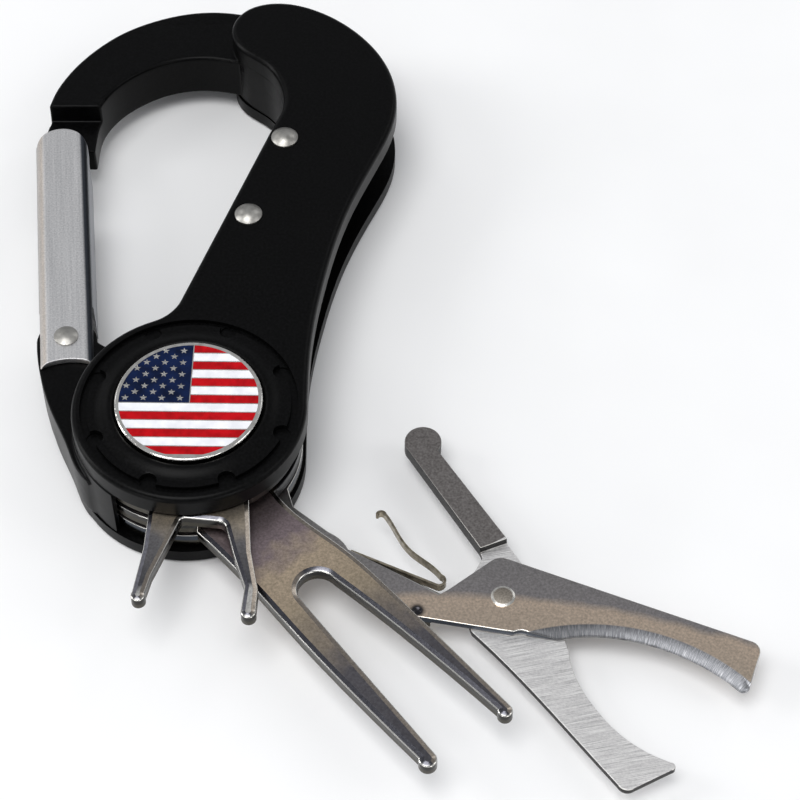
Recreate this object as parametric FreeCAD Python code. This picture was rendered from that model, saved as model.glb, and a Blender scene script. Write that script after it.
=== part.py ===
import FreeCAD, Part
import math
import os

# Folding golf tool with a carabiner body, lying on its back. All sizes in millimetres.
# Origin: on the main pivot axis, in the plane of the back face. +X right, +Y to the hook end, +Z out of the front.

# heights of the sandwich
backPlate = 3.0
bayTop = 14.0
frontTop = 18.0
frontEdgeRound = 1.0
backEdgeRound = 0.5

# hub and spine
hubRadius = 19.9
backHubRadius = 20.2
backInset = 1.0
bayRadius = 19.1
housingRadius = 20.1
housingEnd = 232.0
spineAngle = 70.6
spineLeft = 10.3
spineWall = 5.6
blendRadius = 8.0

# hook
hookLow = 3.6
hookTop = 12.7
hookChamfer = 0.4
noseTop = 8.7
tongueLow = 4.6
tongueTop = 8.3

# gate
gateRivetX = -22.7
gateRivetY = 18.3
gateTilt = 6.0
gateWidth = 9.6
gateWall = 1.2
gateTop = 13.5
gateBack = 3.2
gateLength = 50.4
gateFoot = 8.6
gateRivetRadius = 1.5
lugRadius = 5.3
lugTop = 12.2
runningGap = 0.05

# pivot stack
postRadius = 3.0
postLow = 1.0
screwRadius = 1.6
screwEnd = 5.0
tangRadius = 18.8
washerRadius = 7.0
cutterLow = 3.6
cutterTop = 6.3
lapHeight = 4.95
lapGap = 0.06
forkLow = 7.35
forkTop = 9.85
wrenchLow = 11.0
wrenchTop = 13.5

# ball marker and its seat
markerRadius = 12.5
markerLow = 17.3
markerTop = 19.2
seatRadius = 12.75
seatHeight = 17.2
magnetRadius = 5.0
magnetTop = 17.1
magnetLow = 16.2
headLow = 15.4
dialRadius = 17.2
dialTop = 18.4
dialInnerTop = 18.1
grooveRadius = 18.4
grooveDepth = 0.8
dialNotches = 8
notchRadius = 1.5
notchCircle = 16.9
notchStart = 24.5
notchLow = 17.0

# enamel on the marker
enamelRadius = 11.75
enamelDepth = 0.45
enamelDip = 0.05
stripeCount = 13
stripePitch = 1.79
stripeStart = 11.85
dividerWidth = 0.16
cantonRight = 0.2
cantonStripes = 7
starRadius = 0.66
starInner = 0.28
starRowPitch = 1.27
starColumnPitch = 3.08
starEdge = 0.6
starRows = 9
flagTurn = -0.8

# scale rivets, along and left of the spine's axis
rivetPlaces = [(62.9, 7.0), (43.1, 6.3)]
rivetShank = 1.2
rivetHead = 2.45
rivetDome = 0.9

# cutter
cutterRivetX = 52.4
cutterRivetY = -30.9
cutterRivetShank = 1.5
cutterRivetHead = 2.0
lapRadius = 12.6
arcX = 66.2
arcY = -71.0
arcRadius = 32.6
arcBevel = 2.2
arcEdge = 0.3
dimpleX = 38.3
dimpleY = -33.5
dimpleBall = 1.6
dimpleDepth = 0.25
springStrip = 0.4
springHeight = 1.5
springLow = 4.3


def vec(x, y, z=0.0):
    return FreeCAD.Vector(x, y, z)


def polar(radius, degrees):
    turn = math.radians(degrees)
    return (radius * math.cos(turn), radius * math.sin(turn))


def onSpine(along, left):
    """Point given along the spine's axis and to its left."""
    turn = math.radians(spineAngle)
    x = along * math.cos(turn) - left * math.sin(turn)
    y = along * math.sin(turn) + left * math.cos(turn)
    return (x, y)


def path(start, steps):
    """Edges from start: line to a point, arc through a point to a point, or curve through points."""
    edges = []
    here = vec(*start)
    for step in steps:
        points = [vec(*p) for p in step[1:] if len(p) == 2]
        if step[0] == "line":
            edges.append(Part.makeLine(here, points[0]))
        elif step[0] == "arc":
            edges.append(Part.Arc(here, points[0], points[1]).toShape())
        else:
            spline = Part.BSplineCurve()
            ends = [p for p in step[1:] if len(p) == 4]
            if ends:
                leave = vec(ends[0][0], ends[0][1])
                arrive = vec(ends[0][2], ends[0][3])
                spline.interpolate(Points=[here] + points, InitialTangent=leave, FinalTangent=arrive)
            else:
                spline.interpolate([here] + points)
            edges.append(spline.toShape())
        here = points[-1]
    return edges


def plate(start, steps, low, top):
    """Closed outline pulled up from low to top."""
    face = Part.Face(Part.Wire(path(start, steps)))
    solid = face.extrude(vec(0, 0, top - low))
    solid.translate(vec(0, 0, low))
    return solid


def cylinder(radius, low, top, x=0.0, y=0.0):
    return Part.makeCylinder(radius, top - low, vec(x, y, low))


def ring(outer, inner, low, top):
    return cylinder(outer, low, top).cut(cylinder(inner, low, top))


def edgesAt(shape, height):
    """All edges lying flat at one height."""
    found = []
    for edge in shape.Edges:
        box = edge.BoundBox
        if abs(box.ZMin - height) < 1e-4 and abs(box.ZMax - height) < 1e-4:
            found.append(edge)
    return found


def save(shape, name):
    shape = shape.removeSplitter()
    shape.exportStep("parts/" + name + ".step")


# ---------------------------------------------------------------- scales

def scaleOutline(radius, inset):
    """Shared outline of both scales: hub circle, spine and the bulb over the hook's root."""
    alongBlend = math.sqrt((radius + blendRadius) ** 2 - (spineLeft + blendRadius) ** 2)
    centre = onSpine(alongBlend, spineLeft + blendRadius)
    lineEnd = onSpine(alongBlend, spineLeft)
    leaveAngle = math.degrees(math.atan2(centre[1], centre[0]))
    hubPoint = polar(radius, leaveAngle)
    middle = polar(blendRadius, (spineAngle - 90.0 + leaveAngle - 180.0) / 2.0)
    blendMiddle = (centre[0] + middle[0], centre[1] + middle[1])
    spineDown = onSpine(-60.0, 0.0)
    start = (radius - inset, 0.0)
    steps = [
        ("curve", (20.3 - inset, 14.5), (22.3 - inset, 28.6), (26.2 - inset, 44.5), (30.9 - inset, 56.6),
         (34.7 - inset / 2.0, 68.5), (33.2, 80.6),
         (27.8, 89.4), (19.6, 95.9), (12.0, 98.0), (5.8, 95.9), (3.3, 90.3), (5.4, 85.2), (10.6, 80.6),
         (13.8, 72.2), onSpine(62.5, spineLeft), (0.0, 30.0, spineDown[0], spineDown[1])),
        ("line", lineEnd),
        ("arc", blendMiddle, hubPoint),
        ("arc", polar(radius, 235.0), start),
    ]
    return start, steps


def wingOutline(inset):
    """Foot of the frame left of the hub, ending in the round lug of the gate's hinge."""
    left = gateRivetX - lugRadius + inset
    right = gateRivetX + lugRadius - inset
    start = (-15.3, -12.6)
    steps = [
        ("curve", (-18.3 + inset, -10.0), (-21.0 + inset, -4.0), (-23.9 + inset, 2.4), (-26.2 + inset, 8.9),
         (left, gateRivetY)),
        ("arc", (gateRivetX, gateRivetY + lugRadius - inset), (right, gateRivetY)),
        ("arc", (-15.2, 16.9 - inset), (-11.5, 16.2 - inset)),
        ("line", (-14.0, 6.0)),
        ("line", start),
    ]
    return start, steps


def rivetSpots():
    return [onSpine(along, left) for along, left in rivetPlaces]


def backScale():
    start, steps = scaleOutline(backHubRadius, backInset)
    shape = plate(start, steps, 0.0, backPlate)
    shape = shape.makeFillet(backEdgeRound, edgesAt(shape, 0.0))
    start, steps = wingOutline(0.3)
    wing = plate(start, steps, 0.0, backPlate)
    wing = wing.makeFillet(backEdgeRound, edgesAt(wing, 0.0)[:2])
    shape = shape.fuse(wing)
    shape = shape.cut(cylinder(postRadius, postLow, backPlate))
    for x, y in rivetSpots():
        shape = shape.cut(cylinder(rivetShank, 0.0, backPlate, x, y))
    shape = shape.cut(cylinder(gateRivetRadius, 0.0, backPlate, gateRivetX, gateRivetY))
    return shape


def notches(low, top):
    solids = []
    for index in range(dialNotches):
        x, y = polar(notchCircle, notchStart + index * 360.0 / dialNotches)
        solids.append(cylinder(notchRadius, low, top, x, y))
    return Part.makeCompound(solids)


def frontScale():
    start, steps = scaleOutline(hubRadius, 0.0)
    shape = plate(start, steps, bayTop, frontTop)
    shape = shape.makeFillet(frontEdgeRound, edgesAt(shape, frontTop))
    shape = shape.cut(ring(grooveRadius, dialRadius, frontTop - grooveDepth, frontTop))
    shape = shape.cut(notches(notchLow, frontTop))
    shape = shape.cut(cylinder(seatRadius, seatHeight, frontTop))
    shape = shape.cut(cylinder(magnetRadius, headLow, seatHeight))
    shape = shape.cut(cylinder(screwRadius, bayTop, headLow))
    for x, y in rivetSpots():
        shape = shape.cut(cylinder(rivetShank, bayTop, frontTop, x, y))
    return shape


# ---------------------------------------------------------------- frame between the scales

def hookArc():
    """The hook outside the bulb, with the stepped nose the gate closes over."""
    start = (14.0, 97.6)
    steps = [
        ("curve", (4.0, 100.4), (-3.5, 100.8), (-11.6, 98.7), (-19.1, 94.4), (-23.4, 90.2), (-26.5, 86.1),
         (-28.7, 82.1), (-30.2, 78.1), (-31.2, 73.0), (-31.7, 67.5), (-20.0, 4.0, -1.0, -20.0)),
        ("line", (-21.9, 67.0)),
        ("curve", (-21.2, 74.6), (-19.4, 78.6), (-16.9, 81.7), (-13.9, 84.2), (-10.0, 86.4), (-5.3, 87.7),
         (-0.5, 87.8), (4.0, 86.9), (8.5, 85.6), (1.0, 20.0, 6.0, -2.0)),
        ("line", start),
    ]
    shape = plate(start, steps, hookLow, hookTop)
    shape = shape.makeChamfer(hookChamfer, edgesAt(shape, hookTop)[:3])
    step = Part.makeBox(14.0, 12.0, hookTop, vec(-34.0, 63.0, noseTop))
    shape = shape.cut(step)
    return shape


def noseTongue():
    """Narrow end of the nose, held inside the gate's channel."""
    shape = Part.makeBox(4.6, 10.0, tongueTop - tongueLow, vec(-2.2, 42.0, tongueLow))
    shape = shape.makeFillet(1.0, shape.Edges[4:8])
    shape.rotate(vec(0, 0, 0), vec(0, 0, 1), gateTilt)
    shape.translate(vec(gateRivetX, gateRivetY, 0))
    return shape


def spineWallShape():
    """Wall between the scales along the carabiner's eye, closing the tool bay."""
    alongLow = math.sqrt(bayRadius ** 2 - (spineLeft - spineWall) ** 2)
    start = onSpine(62.5, spineLeft)
    steps = [
        ("line", onSpine(18.0, spineLeft)),
        ("line", onSpine(alongLow, spineLeft - spineWall)),
        ("line", onSpine(65.5, spineLeft - spineWall)),
        ("curve", (18.0, 72.0), (15.8, 79.0), (13.6, 86.0), (14.0, 97.2)),
        ("curve", (12.0, 97.7), (5.8, 95.6), (3.6, 90.3), (5.6, 85.4), (10.7, 80.7), (13.7, 72.2), start),
    ]
    return plate(start, steps, backPlate, bayTop)


def housingWall():
    """Curved wall of the hub from the gate's foot round to the open window."""
    start = polar(housingRadius, 92.0)
    steps = [
        ("arc", polar(housingRadius, 160.0), polar(housingRadius, housingEnd)),
        ("line", polar(bayRadius, housingEnd)),
        ("arc", polar(bayRadius, 150.0), polar(bayRadius, 92.0)),
        ("line", start),
    ]
    return plate(start, steps, backPlate, bayTop)


def hookFrame():
    start, steps = wingOutline(0.0)
    wing = plate(start, steps, backPlate, lugTop)
    shape = spineWallShape()
    for piece in (housingWall(), wing, hookArc(), noseTongue()):
        shape = shape.fuse(piece)
    shape = shape.cut(cylinder(bayRadius, backPlate, bayTop))
    for x, y in rivetSpots():
        shape = shape.cut(cylinder(rivetShank, backPlate, bayTop, x, y))
    shape = shape.cut(cylinder(gateRivetRadius, backPlate, lugTop, gateRivetX, gateRivetY))
    return shape


# ---------------------------------------------------------------- hub fittings

def hubDial():
    """Raised scalloped ring round the marker."""
    profile = [
        vec(seatRadius, 0, frontTop), vec(dialRadius, 0, frontTop), vec(dialRadius, 0, dialTop - 0.4),
        vec(dialRadius - 0.4, 0, dialTop), vec(dialRadius - 0.9, 0, dialTop),
        vec(seatRadius, 0, dialInnerTop), vec(seatRadius, 0, frontTop),
    ]
    shape = Part.Face(Part.makePolygon(profile)).revolve(vec(0, 0, 0), vec(0, 0, 1), 360)
    return shape.cut(notches(frontTop, dialTop))


def pivotPost():
    """Shouldered post set into the back scale, threaded for the screw."""
    shape = cylinder(postRadius, postLow, bayTop)
    return shape.cut(cylinder(screwRadius, screwEnd, bayTop))


def pivotScrew():
    """Screw from the front, its slotted head sunk under the magnet."""
    shape = cylinder(screwRadius, screwEnd, headLow).fuse(cylinder(magnetRadius, headLow, magnetLow))
    for turn in (0, 90):
        slot = Part.makeBox(5.0, 0.9, 0.5, vec(-2.5, -0.45, magnetLow - 0.5))
        slot.rotate(vec(0, 0, 0), vec(0, 0, 1), turn)
        shape = shape.cut(slot)
    return shape


def pivotWashers():
    """Four flat washers that space the three tools on the post."""
    levels = [
        (backPlate, cutterLow - runningGap),
        (cutterTop + runningGap, forkLow - runningGap),
        (forkTop + runningGap, wrenchLow - runningGap),
        (wrenchTop + runningGap, bayTop),
    ]
    return Part.makeCompound([ring(washerRadius, postRadius, low, top) for low, top in levels])


def dome(radius, height, base, x, y):
    """Low domed head standing on a plane."""
    sphere = (radius ** 2 + height ** 2) / (2.0 * height)
    ball = Part.makeSphere(sphere, vec(x, y, base + height - sphere))
    return ball.common(cylinder(radius, base, base + height, x, y))


def scaleRivets():
    solids = []
    for x, y in rivetSpots():
        shank = cylinder(rivetShank, 0.1, frontTop, x, y)
        rim = cylinder(rivetHead, frontTop, frontTop + 0.3, x, y)
        solids.append(shank.fuse(rim).fuse(dome(rivetHead, rivetDome, frontTop + 0.3, x, y)).removeSplitter())
    return Part.makeCompound(solids)


def magnet():
    return cylinder(magnetRadius, magnetLow, magnetTop)


# ---------------------------------------------------------------- gate

def toGate(shape):
    """Turn and move a shape drawn upright at the gate's hinge into its place."""
    shape.rotate(vec(0, 0, 0), vec(0, 0, 1), gateTilt)
    shape.translate(vec(gateRivetX, gateRivetY, 0))
    return shape


def gateChannel():
    """Bent channel: broad front, two side flanges, arched ends, cut back where it hinges and closes."""
    half = gateWidth / 2.0
    start = (-half, -gateFoot + 2.4)
    steps = [
        ("arc", (0.0, -gateFoot + 3.6), (half, -gateFoot + 2.4)),
        ("line", (half, gateLength - 4.0)),
        ("arc", (0.0, gateLength), (-half, gateLength - 4.0)),
        ("line", start),
    ]
    block = plate(start, steps, gateBack, gateTop)
    longEdges = []
    for edge in edgesAt(block, gateTop):
        if edge.BoundBox.XLength < 0.01:
            longEdges.append(edge)
    block = block.makeFillet(1.8, longEdges)
    inner = Part.makeBox(gateWidth - 2.0 * gateWall, 80.0, gateTop - gateWall, vec(-half + gateWall, -20.0, 0.0))
    inner = inner.makeFillet(0.8, [e for e in edgesAt(inner, gateTop - gateWall) if e.BoundBox.XLength < 0.01])
    shape = block.cut(inner)
    foot = Part.makeBox(gateWidth, 30.0, gateTop - gateWall, vec(-half, -30.0 + 7.2, 0.0))
    shape = shape.cut(foot)
    head = Part.makeBox(gateWidth, 10.0, 9.2, vec(-half, gateLength - 6.0, 0.0))
    shape = shape.cut(head)
    outerSide = Part.makeBox(gateWall * 1.5, 14.0, 9.2, vec(-half, gateLength - 14.0, 0.0))
    shape = shape.cut(outerSide)
    shape = shape.cut(cylinder(gateRivetRadius + runningGap, 0.0, gateTop))
    return toGate(shape)


def gateRivet():
    shank = cylinder(gateRivetRadius, 0.1, gateTop + runningGap, gateRivetX, gateRivetY)
    rim = cylinder(2.1, gateTop + runningGap, gateTop + 0.3, gateRivetX, gateRivetY)
    return shank.fuse(rim).fuse(dome(2.1, 0.6, gateTop + 0.3, gateRivetX, gateRivetY)).removeSplitter()


def gateSpring():
    """Bent wire in the channel, pushing the gate out against the nose."""
    points = [vec(2.4, 7.6, 9.6), vec(1.4, 11.0, 9.6), vec(-1.6, 15.0, 9.6), vec(-2.7, 21.0, 9.6), vec(-2.7, 27.0, 9.6)]
    spine = Part.BSplineCurve()
    spine.interpolate(points)
    edge = spine.toShape()
    section = Part.Wire(Part.makeCircle(0.4, points[0], edge.tangentAt(edge.FirstParameter)))
    wire = Part.Wire(edge).makePipeShell([section], True, True)
    return toGate(wire)


# ---------------------------------------------------------------- tools

def cleatWrench():
    """Two-pin wrench for shoe cleats."""
    start = (-5.8, -16.0)
    steps = [
        ("line", (-6.4, -26.0)),
        ("line", (-7.7, -34.4)),
        ("arc", (-6.7, -36.2), (-5.6, -34.6)),
        ("line", (-4.8, -31.2)),
        ("line", (-0.9, -20.9)),
        ("arc", (-0.5, -20.2), (0.2, -20.0)),
        ("line", (5.4, -20.6)),
        ("arc", (6.3, -20.9), (6.9, -21.7)),
        ("line", (8.5, -27.6)),
        ("line", (10.4, -33.4)),
        ("line", (10.0, -37.8)),
        ("arc", (11.3, -39.4), (12.4, -37.8)),
        ("line", (12.6, -34.0)),
        ("line", (11.2, -26.6)),
        ("line", (10.4, -15.6)),
        ("line", start),
    ]
    shape = plate(start, steps, wrenchLow, wrenchTop).fuse(cylinder(tangRadius, wrenchLow, wrenchTop))
    shape = shape.removeSplitter()
    shape = shape.makeChamfer(0.35, edgesAt(shape, wrenchTop))
    return shape.cut(cylinder(postRadius + runningGap, wrenchLow, wrenchTop))


def divotFork():
    """Two long tapering prongs with a round-ended slot between them."""
    start = (2.0, -17.0)
    steps = [
        ("line", (1.8, -20.2)),
        ("curve", (6.8, -25.6), (12.5, -32.3), (18.9, -40.4), (26.2, -49.1), (38.3, -62.7)),
        ("arc", (40.7, -64.0), (41.1, -62.1)),
        ("curve", (34.2, -53.0), (24.2, -39.9), (19.4, -33.5)),
        ("arc", (20.3, -28.6), (24.6, -29.3)),
        ("curve", (34.6, -38.2), (41.3, -44.6), (50.8, -54.1)),
        ("arc", (53.0, -54.9), (52.8, -53.2)),
        ("curve", (43.6, -42.6), (36.9, -34.9), (30.7, -27.9), (25.8, -23.1), (20.4, -18.6), (14.4, -12.0)),
        ("line", start),
    ]
    shape = plate(start, steps, forkLow, forkTop)
    shape = shape.makeFillet(0.5, edgesAt(shape, forkTop)[1:8])
    shape = shape.fuse(cylinder(tangRadius, forkLow, forkTop))
    return shape.cut(cylinder(postRadius + runningGap, forkLow, forkTop))


def cutterArm():
    """Tang, arm and upper blade of the cigar cutter."""
    start = (16.3, -8.4)
    steps = [
        ("line", (17.5, -12.8)),
        ("line", (23.6, -18.0)),
        ("arc", (25.5, -19.4), (26.9, -21.4)),
        ("line", (42.2, -30.2)),
        ("line", (43.4, -29.4)),
        ("line", (50.6, -23.7)),
        ("arc", (52.2, -23.1), (53.8, -23.5)),
        ("line", (92.6, -39.4)),
        ("arc", (93.6, -40.4), (93.6, -41.8)),
        ("line", (91.6, -47.4)),
        ("arc", (90.8, -48.3), (89.6, -47.9)),
        ("curve", (85.0, -44.1), (76.6, -39.8), (68.1, -38.0), (61.1, -38.5)),
        ("line", (56.2, -37.6)),
        ("arc", (55.0, -37.3), (53.8, -37.6)),
        ("line", (50.6, -37.0)),
        ("line", (38.0, -34.6)),
        ("curve", (32.4, -32.2), (25.7, -26.0), (17.5, -18.6), (8.0, -15.0)),
        ("line", start),
    ]
    shape = plate(start, steps, cutterLow, cutterTop).fuse(cylinder(tangRadius, cutterLow, cutterTop))
    shape = shape.removeSplitter()
    lap = cylinder(lapRadius, cutterLow, lapHeight, cutterRivetX, cutterRivetY)
    beyond = Part.makeBox(60.0, 40.0, lapHeight - cutterLow, vec(cutterRivetX, -60.0, cutterLow))
    shape = shape.cut(lap).cut(beyond)
    bevelLow = lapHeight + arcEdge
    grind = Part.makeCone(arcRadius, arcRadius + arcBevel, cutterTop - bevelLow, vec(arcX, arcY, bevelLow))
    shape = shape.cut(grind)
    shape = shape.cut(Part.makeSphere(dimpleBall, vec(dimpleX, dimpleY, cutterTop + dimpleBall - dimpleDepth)))
    shape = shape.cut(cylinder(postRadius + runningGap, cutterLow, cutterTop))
    return shape.cut(cylinder(cutterRivetShank, cutterLow, cutterTop, cutterRivetX, cutterRivetY))


def cutterBlade():
    """Lower blade and thumb lever, half as thick where it laps the arm."""
    lapTop = lapHeight - lapGap
    start = (49.2, -22.4)
    steps = [
        ("line", (45.0, -30.4)),
        ("line", (47.2, -36.8)),
        ("curve", (54.9, -45.7), (62.9, -56.1), (69.5, -64.8)),
        ("arc", (70.7, -65.7), (72.0, -65.4)),
        ("line", (78.1, -62.2)),
        ("arc", (78.7, -61.5), (78.1, -60.8)),
        ("curve", (73.8, -58.6), (69.7, -55.1), (66.5, -50.8), (64.1, -46.2), (62.9, -40.4)),
        ("line", (60.2, -31.2)),
        ("line", (56.4, -24.4)),
        ("line", (53.4, -19.3)),
        ("line", (48.9, -21.2)),
        ("line", start),
    ]
    thin = plate(start, steps, cutterLow, lapTop)
    start = (48.9, -21.2)
    steps = [
        ("line", (53.4, -19.3)),
        ("line", (42.0, -1.0)),
        ("arc", (38.8, 4.0), (37.0, -1.1)),
        ("line", start),
    ]
    handle = plate(start, steps, cutterLow, cutterTop)
    shape = thin.fuse(handle).removeSplitter()
    bore = cylinder(cutterRivetShank + runningGap, cutterLow, cutterTop, cutterRivetX, cutterRivetY)
    return shape.cut(bore)


def cutterRivet():
    x = cutterRivetX
    y = cutterRivetY
    shape = cylinder(cutterRivetShank, cutterLow - 0.2, cutterTop, x, y)
    shape = shape.fuse(cylinder(cutterRivetHead, cutterTop, cutterTop + 0.2, x, y))
    return shape.fuse(dome(cutterRivetHead, 0.35, cutterTop + 0.2, x, y)).removeSplitter()


def cutterSpring():
    """Leaf bent back on itself: one leg on the arm, the other under the thumb lever."""
    edges = path((27.3, -21.4), [
        ("line", (41.6, -28.2)),
        ("arc", (42.9, -27.5), (42.3, -26.3)),
        ("curve", (39.9, -23.7), (37.4, -21.5), (35.6, -18.9), (33.9, -15.4), (33.0, -13.9)),
        ("arc", (32.3, -13.4), (31.6, -13.9)),
    ])
    along = edges[0].tangentAt(0).normalize()
    side = vec(-along.y, along.x) * (springStrip / 2.0)
    foot = edges[0].Vertexes[0].Point
    rise = vec(0, 0, springHeight)
    section = Part.makePolygon([foot - side, foot + side, foot + side + rise, foot - side + rise, foot - side])
    strip = Part.Wire(edges).makePipeShell([section], True, False, 2)
    strip.translate(vec(0, 0, springLow))
    return strip


# ---------------------------------------------------------------- ball marker

def star(x, y, low, top):
    points = []
    for corner in range(11):
        radius = starRadius if corner % 2 == 0 else starInner
        dx, dy = polar(radius, 90.0 + corner * 36.0)
        points.append(vec(x + dx, y + dy, low))
    return Part.Face(Part.makePolygon(points)).extrude(vec(0, 0, top - low))


def stripe(index, low, top):
    """One enamel stripe, clipped by the marker's rim and by the canton."""
    upper = stripeStart - index * stripePitch - dividerWidth / 2.0
    left = -enamelRadius
    if index < cantonStripes:
        left = cantonRight + dividerWidth / 2.0
    width = enamelRadius - left
    height = stripePitch - dividerWidth
    box = Part.makeBox(width, height, top - low, vec(left, upper - height, low))
    return box.common(cylinder(enamelRadius, low, top))


def stripes(first, low, top):
    shape = Part.makeCompound([stripe(index, low, top) for index in range(first, stripeCount, 2)])
    shape.rotate(vec(0, 0, 0), vec(0, 0, 1), flagTurn)
    return shape


def canton(low, top):
    bottom = stripeStart - cantonStripes * stripePitch + dividerWidth / 2.0
    box = Part.makeBox(
        cantonRight - dividerWidth / 2.0 + enamelRadius, enamelRadius - bottom, top - low,
        vec(-enamelRadius, bottom, low))
    shape = box.common(cylinder(enamelRadius, low, top))
    solids = []
    for row in range(starRows):
        y = bottom + 0.95 + row * starRowPitch
        shift = starColumnPitch / 2.0 if row % 2 else 0.0
        for column in range(4):
            x = cantonRight - 1.65 - shift - column * starColumnPitch
            if math.hypot(x, y) < enamelRadius - starEdge:
                solids.append(star(x, y, low, top))
    shape = shape.cut(Part.makeCompound(solids))
    shape.rotate(vec(0, 0, 0), vec(0, 0, 1), flagTurn)
    return shape


def markerCoin():
    """Struck coin with pockets for the enamel; dividers and stars stand at full height."""
    low = markerTop - enamelDepth
    shape = cylinder(markerRadius, markerLow, markerTop)
    shape = shape.makeFillet(0.3, edgesAt(shape, markerTop) + edgesAt(shape, markerLow))
    shape = shape.cut(stripes(0, low, markerTop))
    shape = shape.cut(stripes(1, low, markerTop))
    return shape.cut(canton(low, markerTop))


def build():
    os.makedirs("parts", exist_ok=True)
    enamelLow = markerTop - enamelDepth
    enamelTop = markerTop - enamelDip
    save(backScale(), "back_scale")
    save(frontScale(), "front_scale")
    save(hookFrame(), "hook_frame")
    save(hubDial(), "hub_dial")
    save(pivotPost(), "pivot_post")
    save(pivotScrew(), "pivot_screw")
    save(pivotWashers(), "pivot_washers")
    save(scaleRivets(), "scale_rivets")
    save(magnet(), "marker_magnet")
    save(gateChannel(), "gate_channel")
    save(gateRivet(), "gate_rivet")
    save(gateSpring(), "gate_spring")
    save(cleatWrench(), "cleat_wrench")
    save(divotFork(), "divot_fork")
    save(cutterArm(), "cutter_arm")
    save(cutterBlade(), "cutter_blade")
    save(cutterRivet(), "cutter_rivet")
    save(markerCoin(), "marker_coin")
    save(stripes(0, enamelLow, enamelTop), "enamel_red")
    save(stripes(1, enamelLow, enamelTop), "enamel_white")
    save(canton(enamelLow, enamelTop), "enamel_blue")
    save(cutterSpring(), "cutter_spring")


build()
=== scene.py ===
import math
import bpy
import bmesh
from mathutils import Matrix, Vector
from mathutils.bvhtree import BVHTree


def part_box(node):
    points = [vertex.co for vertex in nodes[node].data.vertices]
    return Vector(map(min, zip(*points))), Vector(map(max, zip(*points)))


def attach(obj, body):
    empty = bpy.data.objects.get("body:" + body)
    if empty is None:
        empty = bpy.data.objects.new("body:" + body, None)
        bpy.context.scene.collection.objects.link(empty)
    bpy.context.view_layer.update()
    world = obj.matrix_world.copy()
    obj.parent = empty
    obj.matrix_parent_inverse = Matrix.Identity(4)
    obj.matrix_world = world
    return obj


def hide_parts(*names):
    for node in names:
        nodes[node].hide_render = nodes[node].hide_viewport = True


# Folding golf tool with a carabiner body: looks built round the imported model. Everything is in metres.
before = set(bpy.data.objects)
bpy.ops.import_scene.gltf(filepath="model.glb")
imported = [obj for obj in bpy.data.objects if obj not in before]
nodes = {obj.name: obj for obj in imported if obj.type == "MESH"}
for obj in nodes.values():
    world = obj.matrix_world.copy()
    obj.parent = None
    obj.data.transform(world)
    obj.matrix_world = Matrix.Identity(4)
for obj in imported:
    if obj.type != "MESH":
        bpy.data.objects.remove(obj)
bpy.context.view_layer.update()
scene = bpy.context.scene
print("frame loaded:", len(nodes), "nodes")


def mm(value):
    return value / 1000.0


def paint(code):
    # sRGB hex to linear, with alpha
    values = [int(code[i:i + 2], 16) / 255.0 for i in (1, 3, 5)]
    return [v / 12.92 if v <= 0.04045 else ((v + 0.055) / 1.055) ** 2.4 for v in values] + [1.0]


def add(tree, kind, inputs=None, **settings):
    # one node, with its settings, and each input either linked or given a value
    made = tree.nodes.new(kind)
    for key, value in settings.items():
        setattr(made, key, value)
    for key, value in (inputs or {}).items():
        socket = made.inputs[key]
        if isinstance(value, bpy.types.NodeSocket):
            tree.links.new(value, socket)
        else:
            socket.default_value = value
    return made


def stops(ramp, colours):
    # fills a colour ramp from (place, hex) pairs
    band = ramp.color_ramp
    while len(band.elements) < len(colours):
        band.elements.new(0.5)
    for element, (place, code) in zip(band.elements, colours):
        element.position = place
        element.color = paint(code)


def direction(degrees):
    # level unit vector at an angle from the X axis
    return (math.cos(math.radians(degrees)), math.sin(math.radians(degrees)), 0.0)


def startMaterial(name, metallic, base, roughness):
    made = bpy.data.materials.new(name)
    made.use_nodes = True
    tree = made.node_tree
    shader = tree.nodes["Principled BSDF"]
    shader.inputs["Metallic"].default_value = metallic
    shader.inputs["Base Color"].default_value = paint(base)
    shader.inputs["Roughness"].default_value = roughness
    coord = add(tree, "ShaderNodeTexCoord")
    return made, tree, shader, coord


def roughen(tree, shader, value, low, high):
    ranged = add(tree, "ShaderNodeMapRange", {"Value": value, "To Min": low, "To Max": high})
    tree.links.new(ranged.outputs["Result"], shader.inputs["Roughness"])


def dent(tree, shader, height, depth, strength=1.0):
    bump = add(tree, "ShaderNodeBump", {"Height": height, "Distance": depth, "Strength": strength})
    tree.links.new(bump.outputs["Normal"], shader.inputs["Normal"])
    return bump


# ---- finishes

coat = {"black": "#020202", "grey": "#0A0A0B", "grain": mm(0.45), "wave": mm(6.0), "depth": mm(0.012)}


def blackAnodised():
    # aluminium, blasted and anodised black: nearly black, satin, with a fine even grain
    made, tree, shader, coord = startMaterial("aluminium blasted and anodised black", 0.0, coat["black"], 0.4)
    grain = add(tree, "ShaderNodeTexNoise", {
        "Vector": coord.outputs["Object"], "Scale": 1.0 / coat["grain"], "Detail": 3.0})
    cloud = add(tree, "ShaderNodeTexNoise", {
        "Vector": coord.outputs["Object"], "Scale": 1.0 / coat["wave"], "Detail": 2.0})
    colour = add(tree, "ShaderNodeValToRGB", {"Fac": grain.outputs["Fac"]})
    stops(colour, [(0.38, coat["black"]), (0.72, coat["grey"])])
    tree.links.new(colour.outputs["Color"], shader.inputs["Base Color"])
    both = add(tree, "ShaderNodeMath", {0: grain.outputs["Fac"], 1: cloud.outputs["Fac"]}, operation="MULTIPLY")
    roughen(tree, shader, both.outputs["Value"], 0.28, 0.5)
    dent(tree, shader, grain.outputs["Fac"], coat["depth"], 0.6)
    shader.inputs["Specular IOR Level"].default_value = 0.09
    return made


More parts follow.
